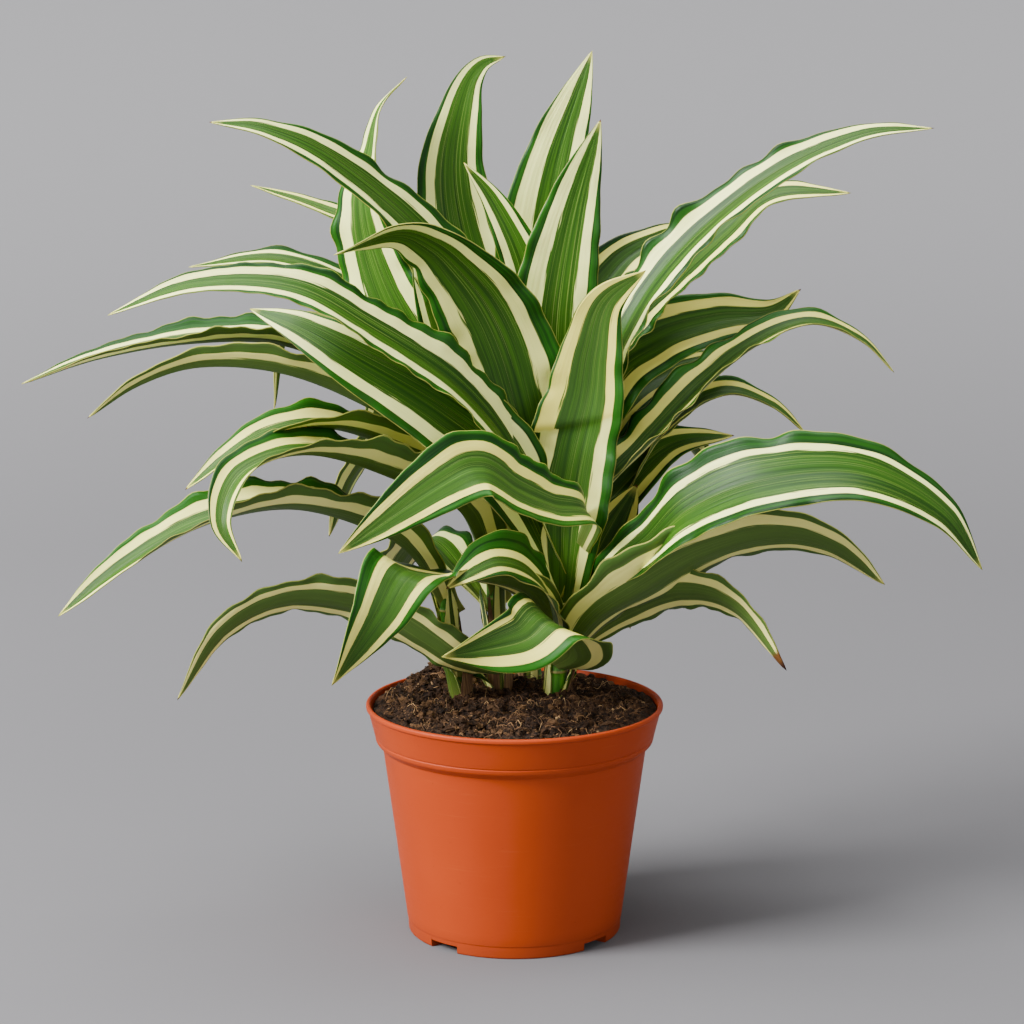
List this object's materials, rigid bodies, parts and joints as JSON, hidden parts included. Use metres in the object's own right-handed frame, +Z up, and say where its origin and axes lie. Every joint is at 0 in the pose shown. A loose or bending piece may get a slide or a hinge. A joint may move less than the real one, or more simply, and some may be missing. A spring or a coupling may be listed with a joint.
{
  "type": "potted dracaena",
  "caption": "Leafy house plant with long arching cream-striped leaves on short canes, standing in soil in a round tapered nursery pot.",
  "frame": {"origin": "centre of the pot's underside, on the surface the pot stands on", "axes": "+Z up along the pot's axis; +X to the right across the widest spread of leaves, seen from the front; +Y away from the front"},
  "size_m": [0.436, 0.268, 0.411],
  "materials": {
    "pot_plastic": "terracotta-coloured moulded plastic with a satin sheen",
    "potting_soil": null,
    "leafy_stem": null
  },
  "bodies": {
    "root": {"pot": "pot_plastic", "soil": "potting_soil", "leafy_stem_front": "leafy_stem", "leafy_stem_back": "leafy_stem", "leafy_stem_mid": "leafy_stem", "leafy_stem_left": "leafy_stem"}
  },
  "joints": []
}
